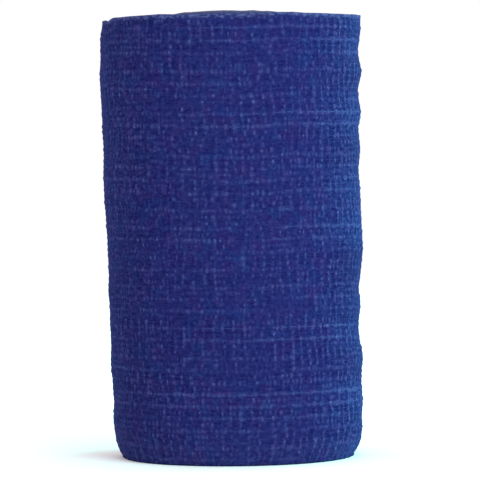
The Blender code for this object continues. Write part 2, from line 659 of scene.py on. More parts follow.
@dataclass
class Crepe:
    """The crepe's pattern: rows of puckers, held between elastic yarns.

    Args:
        length: How much cloth the pattern covers, along.
        width: How wide the cloth is.
        first: The bearing where it begins.
        last: The bearing where it ends.
    """

    length: float
    width: float
    first: float
    last: float
    rows: int = 75
    rib_pitch: float = 1.13 * MM
    spare_ribs: int = 10
    ribs_before: float = 4.0
    relief: float = 0.24 * MM
    level: float = 0.5
    # The colour follows seen: the low lift between rows is painted shade
    seen: BetweenRows = BetweenRows(level=0.38, size=0.17)
    felt: BetweenRows = BetweenRows(level=0.45, size=0.45)
    crest: float = 0.74
    crest_lone: float = 0.42
    crest_run: float = 0.05
    crest_turns: float = 0.35
    gap: float = 0.27
    gap_lone: float = 0.24
    gap_run: float = 0.12
    run_rows: float = 3.0
    skew: float = 2.3
    drift: float = 0.9
    drift_fine: float = 0.55
    drift_own: float = 0.36
    own_cell: float = 6 * MM
    calm: float = 0.14
    blotch: float = 0.06
    strength_spread: float = 0.2
    glow: float = 0.11
    glow_cell: float = 6 * MM
    near: float = 0.10
    far: float = -0.05
    pale: float = 0.12
    rib_least: float = 0.10
    rib_more: float = 0.27
    rib_bearing: float = 335.0
    rib_spread: float = 60.0
    wander: float = 0.20 * MM
    wander_cell: float = 2.2 * MM
    proud_lift: float = 0.30
    proud_size: float = 0.4
    noises: dict[Seed, SmoothNoise] = made()
    own: Array = made()
    crests: Array = made()
    gaps: Array = made()
    strength: Array = made()
    raised: Array = made()
    glows: Array = made()
    wanders: Array = made()

    def __post_init__(self) -> None:
        """Draw the pattern's unevenness."""
        reach = (self.length, self.width)
        self.noises = {seed: SmoothNoise(seed, cell, reach) for seed, cell in CREPE_CELLS.items()}
        draw = Seed.PUCKER_SIZE.draws()
        self.own = self._cells(draw, self.own_cell, self.rows + 1)
        self.crests = self.crest + self._uneven(draw, self.crest_lone, self.crest_run)
        self.gaps = self.gap + self._uneven(draw, self.gap_lone, self.gap_run)
        spread = self.strength_spread
        self.strength = draw.uniform(1 - spread, 1 + spread, self.rows + 1)
        self.raised = np.full(self.rows + 1, self.far)
        self.raised[list(NEAR_ROWS)] = self.near
        self.raised[list(PALE_ROWS)] += self.pale
        draw = Seed.ROW_GLOW.draws()
        self.glows = self.glow * self._cells(draw, self.glow_cell, self.rows + 1)
        draw = Seed.ROW_WANDER.draws()
        self.wanders = self.wander * self._cells(draw, self.wander_cell, 2 * self.rows + 1)
        self.wanders[:, [0, -1]] = 0

    def _cells(self, draw: np.random.Generator, cell: float, columns: int) -> Array:
        """Draw values from -1 to 1, by cell along the cloth and by column."""
        return draw.uniform(-1, 1, (math.ceil(self.length / cell) + 2, columns))

    def _uneven(self, draw: np.random.Generator, lone: float, run: float) -> Array:
        """Draw an unevenness for each rib in each row, part of it shared by a few rows.

        Args:
            draw: The source of the random draws.
            lone: How far a rib strays in one row alone.
            run: How far it strays over a run of rows.

        Returns:
            Values by rib and row.
        """
        ribs = math.ceil(self.length / self.rib_pitch) + self.spare_ribs
        runs = draw.uniform(-1, 1, (ribs, math.ceil(self.rows / self.run_rows) + 2))
        rib, row = np.mgrid[:ribs, : self.rows + 1]
        shared = lattice_read(runs, rib, row / self.run_rows)
        alone = 2 * draw.uniform(0, 1, rib.shape) ** self.skew - 2 / (1 + self.skew)
        return lone * alone + run * shared

    @property
    def row_pitch(self) -> float:
        """The mean distance from one yarn to the next."""
        return self.width / self.rows

    def share(self, place: Array) -> Array:
        """Places across the cloth as shares of its width."""
        return ROW_HEIGHTS.at(place) / ROW_HEIGHTS.at(self.rows)

    def sag(self, place: Array, bearing: Array) -> Array:
        """How far the cloth hangs below where it would lie level."""
        return sum(hang.at(place, bearing) for hang in HANGS)

    def shift(self, along: Array, place: Array) -> Array:
        """How far up the cloth is pulled within its row."""
        return lattice_read(self.wanders, along / self.wander_cell, 2 * place)

    def _stray(self, seed: Seed, along: Array, across: Array) -> Array:
        """One kind of unevenness, from -1 to 1, at places on the cloth."""
        return self.noises[seed].at(along, across)

    def _taller(self, along: Array) -> Array:
        """How much every second rib stands taller at places along the cloth."""
        bearing = mix(self.first, self.last, along / self.length)
        return self.rib_least + self.rib_more * hump(bearing, self.rib_bearing, self.rib_spread)

    def rib(self, along: Array, row: Array) -> Array:
        """Count the ribs along a row.

        Args:
            along: Places along the cloth.
            row: Which row each is in.

        Returns:
            Rib counts, whole at each crest.
        """
        across = row * self.row_pitch
        count = self.ribs_before + along / self.rib_pitch
        count = count + self.drift * self._stray(Seed.DRIFT, along, across)
        count = count + self.drift_fine * self._stray(Seed.DRIFT_FINE, along, across)
        return count + self.drift_own * lattice_read(self.own, along / self.own_cell, row)

    def lift(
        self, along: Array, place: Array, between: BetweenRows, proud: Array | float = 0.0
    ) -> Array:
        """Find how high the crepe stands.

        Args:
            along: Places along the cloth.
            place: Places across it.
            between: How the cloth lies between two rows.
            proud: How far the row's yarn stands out, from 0 to 1.

        Returns:
            Heights from about 0, between ribs, to about 1, on the biggest crests.
        """
        row = np.clip(np.floor(place + 0.5), 0, self.rows)
        rib, yarn = self.rib(along, row), row.astype(int)
        across, on_row = place * self.row_pitch, crested(place)
        taller = self._taller(along) + self.crest_turns * self._stray(Seed.TURNS, along, across)
        crest = lattice_read(self.crests, rib, row) + taller * np.cos(math.pi * rib)
        gap = lattice_read(self.gaps, rib - 0.5, row)
        size = mix(between.size, 1.0, on_row) * (1 + self.proud_size * proud * on_row)
        size = size * self.strength[yarn] * (1 + self.calm * self._stray(Seed.CALM, along, across))
        glow = lattice_read(self.glows, along / self.glow_cell, row) + self.raised[yarn]
        base = mix(between.level, self.level + glow + self.proud_lift * proud, on_row)
        uneven = self.blotch * self._stray(Seed.BLOTCH, along, across)
        return base + size * (mix(gap, crest, crested(rib)) - self.level) + uneven

    def relief_at(self, along: Array, place: Array, proud: Array | float = 0.0) -> Array:
        """How far the cloth stands out of its plain face, where its yarns stand out so far."""
        return self.relief * (self.lift(along, place, self.felt, proud) - self.level)


@dataclass
class CutEdges:
    """How high the cloth's two cut edges run, turn by turn."""

    form: RollForm
    wobble: float = 0.22 * MM
    foot_wobble: float = 0.12 * MM
    dish_depth: float = 0.6 * MM
    dish_turns: float = 2.0
    eye_depth: float = 0.6 * MM
    eye_reach: float = 7.0
    peek: float = 0.38 * MM
    peek_start: float = 243.0
    peek_end: float = 290.0
    peek_ramp: float = 6.0
    peek_turns: float = 3.0
    first_peek: float = 0.05
    cells_per_turn: int = 4
    spare_cells: int = 6
    uneven: Array = made()

    def __post_init__(self) -> None:
        """Draw the edges' unevenness."""
        cells = self.cells_per_turn * self.form.turns + self.spare_cells
        self.uneven = Seed.EDGE.draws().uniform(-1, 1, (cells, 2))

    def _wobble(self, turn: Array, edge: int) -> Array:
        """The unevenness of the upper edge, 1, or the lower one, 0."""
        cell = self.cells_per_turn * turn + 1
        return lattice_read(self.uneven, cell, np.full_like(turn, edge))

    def _dip(self, turn: Array) -> Array:
        """How far both edges are drawn in near the eye."""
        return self.eye_depth * ramp(turn, self.eye_reach, 0)

    def upper(self, turn: Array) -> Array:
        """Find the height of the top edge.

        Args:
            turn: Turn counts.

        Returns:
            Heights.
        """
        deep = np.clip(self.form.turns - 1 - turn, 0, None)
        inside = ramp(deep, 0, self.dish_turns)
        bearing = self.form.bearing(turn) % 360
        peek = self.peek * plateau(bearing, self.peek_start, self.peek_end, self.peek_ramp)
        peek = peek * hump(deep, 1, self.peek_turns) * (deep > self.first_peek)
        rim = self.form.top(turn) + EDGE_RISE.around(bearing)
        height = mix(rim, self.form.height - self.dish_depth, inside)
        return height + peek - self._dip(turn) + self.wobble * inside * self._wobble(turn, 1)

    def lower(self, turn: Array) -> Array:
        """The height of the bottom edge at turn counts."""
        return self._dip(turn) + self.foot_wobble * (1 + self._wobble(turn, 0)) / 2


# ---------------------------------------------------------------- finishes


Link = bpy.types.NodeSocket | float | Colour


class Step(Enum):
    """A step of arithmetic, by Blender's name for it."""

    PLUS = "ADD"
    TIMES = "MULTIPLY"
    OVER = "DIVIDE"
    LARGER = "MAXIMUM"


@dataclass(frozen=True)
class Grain:
    """A patchiness laid on the cloth: smooth noise of about 0 to 1.

    Args:
        cell: The size of a patch.
        along: How many times as long it is along the cloth.
        across: How many times as long it is across the cloth.
        detail: How much finer patchiness it holds.
        low: The value that is brought to 0, where patches are picked out.
        high: The value that is brought to 1.
    """

    cell: float
    along: float = 1.0
    across: float = 1.0
    detail: float = 2.0
    low: float = 0.0
    high: float = 1.0


@dataclass(frozen=True)
class Nap:
    """How rough a surface looks close up: how strongly, and how deep its unevenness is."""

    strength: float
    depth: float


@dataclass
class NodeBench:
    """A material's nodes, added one at a time and joined as they are added."""

    name: str
    material: bpy.types.Material = made()

    def __post_init__(self) -> None:
        """Make the material with a lone Principled shader."""
        self.material = bpy.data.materials.new(self.name)
        self.material.use_nodes = True

    @property
    def shader(self) -> bpy.types.Node:
        """The Principled shader."""
        return self.material.node_tree.nodes["Principled BSDF"]

    def feed(self, node: bpy.types.Node, inputs: dict[str | int, Link]) -> None:
        """Join or set a node's inputs.

        Args:
            node: The node.
            inputs: Sockets to join to, or values to set, by input name or place.
        """
        for key, value in inputs.items():
            if isinstance(value, bpy.types.NodeSocket):
                self.material.node_tree.links.new(value, node.inputs[key])
            else:
                node.inputs[key].default_value = value

    def add(self, kind: str, inputs: dict[str | int, Link], **settings: str | bool) -> bpy.types.Node:
        """Add a node.

        Args:
            kind: Blender's name for the kind of node, less ShaderNode.
            inputs: Sockets to join to, or values to set, by input name or place.
            settings: The node's own settings.

        Returns:
            The node.
        """
        node = self.material.node_tree.nodes.new(f"ShaderNode{kind}")
        for setting, value in settings.items():
            setattr(node, setting, value)
        self.feed(node, inputs)
        return node

    def layer(self, name: str) -> Link:
        """The value that a mesh stores at its points under a name."""
        return self.add("Attribute", {}, attribute_name=name).outputs["Fac"]

    def math(self, step: Step, first: Link, second: Link) -> Link:
        """The outcome of one step of arithmetic on two values."""
        return self.add("Math", {0: first, 1: second}, operation=step.value).outputs[0]

    def plus(self, first: Link, second: Link) -> Link:
        """The sum of two values."""
        return self.math(Step.PLUS, first, second)

    def times(self, first: Link, second: Link) -> Link:
        """The product of two values."""
        return self.math(Step.TIMES, first, second)

    def strayed(self, value: Link, size: Link) -> Link:
        """How far a value lies above a half, times a size."""
        return self.times(self.plus(value, -0.5), size)

    def ramp(self, value: Link, low: float, high: float) -> Link:
        """A value brought from a range to between 0 and 1, smooth at its ends."""
        inputs = {"Value": value, "From Min": low, "From Max": high}
        return self.add("MapRange", inputs, interpolation_type="SMOOTHSTEP").outputs[0]

    def straight(self, value: Link, low: float, high: float) -> Link:
        """A value brought from a range to between 0 and 1, in a straight line."""
        return self.add("MapRange", {"Value": value, "From Min": low, "From Max": high}).outputs[0]

    def blend(self, share: Link, low: Link, high: Link) -> Link:
        """A colour between two others."""
        inputs = {0: share, COLOUR_LOW: low, COLOUR_HIGH: high}
        return self.add("Mix", inputs, data_type="RGBA").outputs[COLOUR_OUT]

    def tinted(self, colour: Link, light: Link) -> Link:
        """Multiply two colours.

        Args:
            colour: The one.
            light: The other.

        Returns:
            Their product.
        """
        inputs = {0: 1.0, COLOUR_LOW: colour, COLOUR_HIGH: light}
        node = self.add("Mix", inputs, data_type="RGBA", blend_type="MULTIPLY")
        return node.outputs[COLOUR_OUT]

    def noise(self, where: Link, cell: float, detail: float = 2.0, fine: float = 0.6) -> Link:
        """Smooth noise of about 0 to 1, in cells of a size."""
        inputs = {"Vector": where, "Scale": 1 / cell, "Detail": detail, "Roughness": fine}
        return self.add("TexNoise", inputs).outputs["Fac"]

    def grain(self, grain: Grain) -> Link:
        """Lay a grain on the cloth, by the along and across that its mesh stores.

        Args:
            grain: The grain.

        Returns:
            Its values, of about 0 to 1.
        """
        along = self.math(Step.OVER, self.layer("along"), grain.along)
        across = self.math(Step.OVER, self.layer("across"), grain.across)
        place = self.add("CombineXYZ", {"X": along, "Y": across}).outputs[0]
        return self.noise(place, grain.cell, grain.detail)

    def patches(self, grain: Grain) -> Link:
        """A grain's patches, picked out between 0 and 1."""
        return self.ramp(self.grain(grain), grain.low, grain.high)

    def bump(self, height: Link, nap: Nap) -> Link:
        """The normal of a surface that is a little uneven."""
        inputs = {"Strength": nap.strength, "Distance": nap.depth, "Height": height}
        return self.add("Bump", inputs).outputs[0]


@dataclass(frozen=True)
class Sheen:
    """The soft glow of fibre ends, seen where the cloth turns away."""

    weight: float = 0.09
    roughness: float = 0.45
    tint: Colour = (0.05, 0.25, 1.0, 1.0)

    def inputs(self) -> dict[str, Link]:
        """The values of the shader's own sheen sockets."""
        return {"Sheen Weight": self.weight, "Sheen Roughness": self.roughness, "Sheen Tint": self.tint}


@dataclass(frozen=True)
class Finish:
    """What each finish sets on its shader's own sockets, beside its look."""

    name: str
    roughness: float
    specular: float
    sheen: Sheen | None = None

    def look(self, bench: NodeBench) -> dict[str, Link]:
        """The shader inputs that make the finish's colour and its fine unevenness."""
        raise NotImplementedError

    def material(self) -> bpy.types.Material:
        """Build the finish.

        Returns:
            The material.
        """
        bench = NodeBench(self.name)
        inputs = {"Roughness": self.roughness, "Specular IOR Level": self.specular}
        if self.sheen:
            inputs.update(self.sheen.inputs())
        bench.feed(bench.shader, inputs | self.look(bench))
        return bench.material


@dataclass(frozen=True)
class CrepeFinish(Finish):
    """Matt royal-blue crepe: violet navy between the puckers, partly painted shade, and grey blue on
    their crests, partly painted highlight.
    """

    name: str = "crepe_cloth"
    roughness: float = 0.9
    specular: float = 0.03
    sheen: Sheen = Sheen()
    # Partly the cloth's own darker depths, partly painted shade in the hollows between the puckers
    hollow_tone_and_shade: Colour = (0.0056, 0.0052, 0.058, 1.0)
    face: Colour = (0.0142, 0.0142, 0.091, 1.0)
    greener: Colour = (0.0099, 0.0172, 0.099, 1.0)
    redder: Colour = (0.0190, 0.0122, 0.087, 1.0)
    # The crests' colours: partly paler fibre, partly painted highlight
    greener_crest_and_highlight: Colour = (0.0305, 0.0356, 0.133, 1.0)
    redder_crest_and_highlight: Colour = (0.0357, 0.0318, 0.133, 1.0)
    # Painted highlight on the crepe: pale spots on the highest crests (the cut edges' flecks share this
    # name and are real)
    fleck_and_highlight: Colour = (0.066, 0.073, 0.205, 1.0)
    rim: Colour = (0.066, 0.074, 0.190, 1.0)
    rim_width: float = 0.9 * MM
    rim_fray: float = 1.98 * MM
    rim_gaps: float = 0.8
    # Painted contact shade: the colour of the cloth's lowest edge, where it meets the floor
    sole: Colour = (0.0020, 0.0022, 0.016, 1.0)
    painted_contact_shade_height: float = 0.3 * MM
    # Painted side light: how much greener and bluer the cloth is painted where the roll bulges into the
    # side lamp
    painted_light_green: float = 1 / 4.4
    painted_light_blue: float = 1 / 7
    bunching: float = 0.72
    crumpling: float = 2.6
    unhighlighted: float = 0.3
    highlight_from: float = 0.5
    highlight_full: float = 0.95
    hollow_shade_to_face: float = 0.5
    face_to_crest_highlight: float = 0.6
    fuzz: Grain = Grain(0.5 * MM, along=1.2, across=0.9, detail=1.5)
    patch: Grain = Grain(9 * MM, detail=3.0, low=0.3, high=0.7)
    tint: Grain = Grain(4 * MM, low=0.38, high=0.62)
    bunch: Grain = Grain(0.8 * MM, along=1.5, detail=0.0)
    crumple: Grain = Grain(0.8 * MM, along=2.4, detail=1.0)
    highlight_flecks: Grain = Grain(0.55 * MM, across=1.5, detail=0.5, low=0.60, high=0.72)
    bald: Grain = Grain(0.9 * MM, along=1.3, detail=1.0, low=0.60, high=0.38)
    nap: Nap = Nap(0.7, 0.15 * MM)

    def look(self, bench: NodeBench) -> dict[str, Link]:
        """Colour the crepe by its height: painted shade in the hollows, painted highlight on the crests
        and flecks, both stronger at the sides, a patchy pale rim, a painted contact shade at the foot
        and painted side light on the bulges.

        Args:
            bench: The material's nodes.

        Returns:
            The shader's inputs.
        """
        lift, painted_contrast, full = (bench.layer(name) for name in ("lift", "painted_contrast", "full"))
        fuzz, bunch, tint = bench.grain(self.fuzz), bench.grain(self.bunch), bench.patches(self.tint)
        height = bench.plus(lift, bench.strayed(fuzz, 1.0))
        height = bench.plus(height, bench.strayed(bunch, self.bunching))
        # Painted contrast: extra crumple noise and a wider spread of height at the sides, deepening the
        # painted shade and highlights there
        painted_side_crumple = bench.strayed(bench.grain(self.crumple), self.crumpling)
        painted_side_crumple = bench.times(painted_side_crumple, bench.plus(painted_contrast, -1.0))
        height = bench.plus(bench.strayed(height, painted_contrast), painted_side_crumple)
        mottle = bench.blend(tint, self.greener, self.redder)
        face = bench.blend(bench.patches(self.patch), self.face, mottle)
        # Crest colour, partly painted highlight
        crest = bench.blend(tint, self.greener_crest_and_highlight, self.redder_crest_and_highlight)
        # The colour follows the height: painted shade in the hollows, painted highlight on the crests
        above = bench.straight(height, -self.hollow_shade_to_face, 0.0)
        cloth = bench.blend(above, self.hollow_tone_and_shade, face)
        above = bench.straight(height, 0.0, self.face_to_crest_highlight)
        cloth = bench.blend(above, cloth, crest)
        # Painted highlight: pale spots where the crests stand highest, stronger at the sides
        fleck_and_highlight = bench.times(bench.patches(self.highlight_flecks), bench.plus(painted_contrast, -self.unhighlighted))
        fleck_and_highlight = bench.times(fleck_and_highlight, bench.ramp(lift, self.highlight_from, self.highlight_full))
        cloth = bench.blend(fleck_and_highlight, cloth, self.fleck_and_highlight)
        below = bench.plus(bench.layer("below"), bench.strayed(bunch, self.rim_fray))
        bare = bench.times(bench.patches(self.bald), self.rim_gaps)
        inside = bench.math(Step.LARGER, bench.ramp(below, 0.0, self.rim_width), bare)
        cloth = bench.blend(inside, self.rim, cloth)
        # Painted contact shade along the foot
        raised = bench.ramp(bench.layer("across"), 0.0, self.painted_contact_shade_height)
        cloth = bench.blend(raised, self.sole, cloth)
        # Painted side light: the colour is tinted greener and bluer on the right-side bulges
        green, blue = (
            bench.plus(bench.times(full, more), 1.0) for more in (self.painted_light_green, self.painted_light_blue)
        )
        light = bench.add("CombineXYZ", {"X": 1.0, "Y": green, "Z": blue}).outputs[0]
        return {"Base Color": bench.tinted(cloth, light), "Normal": bench.bump(fuzz, self.nap)}


@dataclass(frozen=True)
class YarnFinish(Finish):
    """A thin elastic yarn wrapped in blue fibre, paler where it stands out."""

    name: str = "elastic_yarn"
    roughness: float = 0.8
    specular: float = 0.06
    sheen: Sheen = Sheen(weight=0.2)
    buried: Colour = (0.0108, 0.0103, 0.0790, 1.0)
    sunk: Colour = (0.0196, 0.0193, 0.1053, 1.0)
    proud: Colour = (0.0365, 0.0485, 0.1600, 1.0)
    wear: Grain = Grain(0.9 * MM, low=0.35, high=0.62)
    patch: Grain = Grain(1.3 * MM, along=4.0, low=0.35, high=0.65)
    twist: Grain = Grain(0.2 * MM, along=0.6)
    nap: Nap = Nap(0.4, 0.05 * MM)

    def look(self, bench: NodeBench) -> dict[str, Link]:
        """Shade the yarn by how far it stands out.

        Args:
            bench: The material's nodes.

        Returns:
            The shader's inputs.
        """
        shows = bench.times(bench.layer("lift"), bench.patches(self.wear))
        sunk = bench.blend(bench.patches(self.patch), self.buried, self.sunk)
        bump = bench.bump(bench.grain(self.twist), self.nap)
        return {"Base Color": bench.blend(shows, sunk, self.proud), "Normal": bump}


@dataclass(frozen=True)
class CutEdgeFinish(Finish):
    """The inner turns: the face's blue, paler and fuzzy at the cut edges."""

    name: str = "cut_crepe"
    roughness: float = 0.95
    specular: float = 0.05
    sheen: Sheen = Sheen(weight=0.2)
    face: Colour = (0.0134, 0.0135, 0.0884, 1.0)
    paler: Colour = (0.0227, 0.0225, 0.1081, 1.0)
    rim: Colour = (0.078, 0.072, 0.132, 1.0)
    rim_width: float = 1.0 * MM
    fleck_and_highlight: Colour = (0.085, 0.095, 0.200, 1.0)
    fuzz_cell: float = 0.45 * MM
    fleck_from: float = 0.55
    fleck_full: float = 0.8
    tint: Grain = Grain(2.3 * MM, low=0.3, high=0.7)
    nap: Nap = Nap(0.6, 0.15 * MM)

    def look(self, bench: NodeBench) -> dict[str, Link]:
        """Shade the cloth from its cut edge down.

        Args:
            bench: The material's nodes.

        Returns:
            The shader's inputs.
        """
        fuzz = bench.noise(bench.add("TexCoord", {}).outputs["Object"], self.fuzz_cell)
        cloth = bench.blend(bench.patches(self.tint), self.face, self.paler)
        edge = bench.blend(bench.ramp(bench.layer("below"), 0.0, self.rim_width), self.rim, cloth)
        flecked = bench.ramp(fuzz, self.fleck_from, self.fleck_full)
        colour = bench.blend(flecked, edge, self.fleck_and_highlight)
        return {"Base Color": colour, "Normal": bench.bump(fuzz, self.nap)}


@dataclass(frozen=True)
class LintFinish(Finish):
    """Loose fibres of the cloth, thin enough to look paler than it."""

    name: str = "blue_lint"
    roughness: float = 0.7
    specular: float = 0.2
    dark: Colour = (0.026, 0.034, 0.140, 1.0)
    pale: Colour = (0.095, 0.125, 0.290, 1.0)

    def look(self, bench: NodeBench) -> dict[str, Link]:
        """The fibres' colours, between dark and pale."""
        return {"Base Color": bench.blend(bench.layer("lift"), self.dark, self.pale)}


@dataclass(frozen=True)
class FloorFinish(Finish):
    """A plain pale floor."""

    name: str = "pale_floor"
    roughness: float = 0.9
    specular: float = 0.1
    colour: Colour = (1.0, 1.0, 1.0, 1.0)

    def look(self, bench: NodeBench) -> dict[str, Link]:
        """The floor's one colour."""
        return {"Base Color": self.colour}


# ---------------------------------------------------------------- the bandage's pieces


@dataclass(frozen=True)
class Stretch:
    """A stretch of the outer turn, by the bearings where it begins, is at its height and ends."""

    start: float
    crest: float
    end: float

    def at(self, bearing: Array) -> Array:
        """A share that is 0 outside the stretch and 1 at its height."""
        return ramp(bearing, self.start, self.crest) * ramp(bearing, self.end, self.crest)


@dataclass
class OuterTurn:
    """The turn that shows, with the crepe's rows and puckers raised in it."""

    form: RollForm
    edges: CutEdges
    finish: CrepeFinish = CrepeFinish()
    thickness: float = 0.55 * MM
    overlap: float = 12 / 360
    columns: int = 600
    faces_per_row: int = 2
    lining_rows: int = 6
    lip: float = 0.14 * MM
    tail_lift: float = 0.22 * MM
    tail_reach: float = 1.6 * MM
    rise_reach: float = 4.0
    # Painted contrast: the hollows' painted shade and the crests' painted highlights grow stronger
    # towards the sides
    painted_contrast_left: float = 0.5
    painted_contrast_right: float = 0.84
    painted_contrast_stretch: Stretch = Stretch(296.0, 346.0, 382.0)
    # Painted light: how much paler the cloth is made towards the foot, offsetting its shade where it is
    # drawn in
    painted_foot_light_strength: float = 0.14
    foot_height: float = 8 * MM
    swell: float = 0.2 * MM
    swell_stretch: Stretch = Stretch(274.0, 306.0, 350.0)
    corner: float = 0.32 * MM
    corner_height: float = 3.6 * MM
    corner_reach: float = 2.4 * MM
    corner_stretch: Stretch = Stretch(318.0, 350.0, 390.0)
    # The bearings where painted side light tints the cloth on its bulges
    lit_stretch: Stretch = Stretch(302.0, 332.0, 405.0)
    first: float = made()
    length: float = made()
    crepe: Crepe = made()

    def __post_init__(self) -> None:
        """Work out how much cloth the turn has, and draw its pattern."""
        self.first = self.form.turns - 1 - self.overlap
        self.length = (1 + self.overlap) * 2 * math.pi * float(self.form.wall.mean())
        start, end = self.form.bearing(self.first), self.form.bearing(self.form.turns)
        self.crepe = Crepe(self.length, self.form.height, start, end)

    def along(self, turn: Array) -> Array:
        """Turn counts as places along the cloth."""
        return (turn - self.first) / (1 + self.overlap) * self.length

    def height(self, turn: Array, place: Array) -> Array:
        """The height of a place across the cloth at turn counts."""
        level = mix(self.edges.lower(turn), self.edges.upper(turn), self.crepe.share(place))
        return level - self.crepe.sag(place, self.form.bearing(turn))

    def proud(self, turn: Array, place: Array) -> Array:
        """Find how far the yarns stand out of the cloth.

        Args:
            turn: Turn counts.
            place: Places across the cloth.

        Returns:
            Shares from 0 to 1.
        """
        row, bearing = np.floor(place + 0.5), self.form.bearing(turn)
        share = np.zeros(np.broadcast_shapes(turn.shape, row.shape))
        for yarn, stretches in PROUD_YARNS.items():
            for start, end, shows in stretches:
                out = shows * plateau(bearing, start, end, self.rise_reach)
                share = np.maximum(share, out * (row == yarn))
        return share

    def painted_contrast(self, bearing: Array) -> Array:
        """How strongly the painted shade and highlights show at bearings: 1 at the front and more at
        the sides.
        """
        left = np.clip(-np.cos(np.radians(bearing)), 0, None) ** 2
        return 1 + self.painted_contrast_left * left + self.painted_contrast_right * self.painted_contrast_stretch.at(bearing)

    def face(self, turn: Array, height: Array, relief: Array | float) -> Array:
        """Find the outer radius of the cloth, lifted a little at its cut end.

        Args:
            turn: Turn counts.
            height: Heights.
            relief: How far the crepe stands out there.

        Returns:
            Distances from the middle of the eye.
        """
        bearing = self.form.bearing(turn)
        loose = self.tail_lift * ramp(self.length - self.along(turn), self.tail_reach, 0)
        swell = self.swell * (1 + SWELLS.at(height / MM)) * self.swell_stretch.at(bearing)
        corner = self.corner * hump(height, self.corner_height, self.corner_reach)
        corner = corner * self.corner_stretch.at(bearing)
        return self.form.radius(turn, height) + swell + corner + relief + loose

    def build(self) -> bpy.types.Object:
        """Make the piece.

        Returns:
            A closed shell of the cloth's own thickness.
        """
        crepe = self.crepe
        turn = np.linspace(self.first, self.form.turns, self.columns)[:, None]
        place = np.linspace(0, crepe.rows, crepe.rows * self.faces_per_row + 1)[None, :]
        lining = np.linspace(crepe.rows, 0, self.lining_rows)[None, :]
        along, bearing, proud = self.along(turn), self.form.bearing(turn), self.proud(turn, place)
        height = self.height(turn, place) + crepe.shift(along, place)
        # Painted light: the lift is raised towards the foot, where the drawn-in cloth faces down into
        # shade
        painted_foot_light = self.painted_foot_light_strength * np.clip(2 - 2 * height / self.foot_height, 0, 1)
        lift = crepe.lift(along, place, crepe.seen, proud) + painted_foot_light
        outer = self.face(turn, height, crepe.relief_at(along, place, proud))
        inner_height = self.height(turn, lining)
        inner = self.face(turn, inner_height, 0.0) - self.thickness
        lip = np.array([self.lip, self.lip])
        brim = np.hstack([outer[:, -1:] - self.lip, inner[:, :1] + self.lip])
        sole = np.hstack([inner[:, -1:] + self.lip, outer[:, :1] - self.lip])
        ground = np.maximum(height[:, :1] - lip, 0)
        heights = np.hstack([height, height[:, -1:] + lip, inner_height, ground])
        level = np.hstack([lift, lift[:, -1:].repeat(2, 1), 0 * inner, lift[:, :1].repeat(2, 1)])
        layers = {
            "lift": level,
            "along": along,
            "across": heights,
            "below": height[:, -1:] - heights,
            # Painted contrast of shade and highlight, by bearing
            "painted_contrast": self.painted_contrast(bearing),
            # Painted side light where the roll bulges to the right
            "full": SWELLS.at(heights / MM) * self.lit_stretch.at(bearing),
        }
        rings = self.form.place(turn, heights, np.hstack([outer, brim, inner, sole]))[None]
        return Tubes("outer_turn", rings, layers, crossed=True).build(self.finish.material())


@dataclass
class InnerTurns:
    """The turns inside the outer one, up to the last, whose cut edges show at both ends."""

    form: RollForm
    edges: CutEdges
    last: float
    finish: CutEdgeFinish = CutEdgeFinish()
    thickness: float = 0.62 * MM
    station_gap: float = 0.55 * MM
    crinkle: float = 0.11 * MM
    crinkle_pitch: float = 2.25 * MM
    crinkle_drift: float = 0.6
    drift_cell: float = 9 * MM
    flattest: float = 0.2
    lip: float = 0.16 * MM
    folds: int = 10
    pitch: float = made()
    length: float = made()

    def __post_init__(self) -> None:
        """Work out how much cloth the turns hold."""
        start = self.form.eye_radius
        self.pitch = (float(self.form.wall.mean()) - start) / self.form.turns
        self.length = 2 * math.pi * (start * self.last + self.pitch * self.last**2 / 2)

    def _turn_at(self, along: Array) -> Array:
        """The turn count at places along the cloth, counted from the eye."""
        start = self.form.eye_radius
        return (np.sqrt(start**2 + self.pitch * along / math.pi) - start) / self.pitch

    def _crinkle(self, along: Array) -> Array:
        """Crinkle the cloth lightly.

        Args:
            along: Places along the cloth, counted from the eye.

        Returns:
            How far it stands out there.
        """
        drift = SmoothNoise(Seed.INNER, (self.drift_cell, 1.0), (self.length, 1.0))
        phase = along / self.crinkle_pitch + self.crinkle_drift * drift.at(along, 0 * along)
        waves = math.ceil(phase.max()) + 2
        sizes = Seed.INNER.draws().uniform(self.flattest, 1.0, waves)
        size = np.interp(phase, np.arange(waves), sizes)
        return self.crinkle * size * np.cos(2 * math.pi * phase)

    def build(self) -> bpy.types.Object:
        """Make the piece.

        Returns:
            A closed spiral ribbon of the cloth's own thickness.
        """
        along = np.linspace(0, self.length, round(self.length / self.station_gap))
        turn = self._turn_at(along)
        upper, lower = self.edges.upper(turn), self.edges.lower(turn)
        wall = [lower + self.lip, (upper + lower) / 2, upper - self.lip]
        heights = np.stack([*wall, upper, upper, *wall[::-1], lower, lower], axis=1)
        bevel = [self.lip, self.thickness - self.lip]
        sunk = np.array([0, 0, 0, *bevel, *[self.thickness] * 3, *bevel[::-1]])
        turn, along, upper = turn[:, None], along[:, None], upper[:, None]
        radius = self.form.radius(turn, heights) + self._crinkle(along) - sunk
        layers = {"along": along, "across": heights, "below": upper - heights}
        rings = self.form.place(turn, heights, radius)[None]
        ribbon = Tubes("inner_turns", rings, layers, folds=self.folds)
        return ribbon.build(self.finish.material())


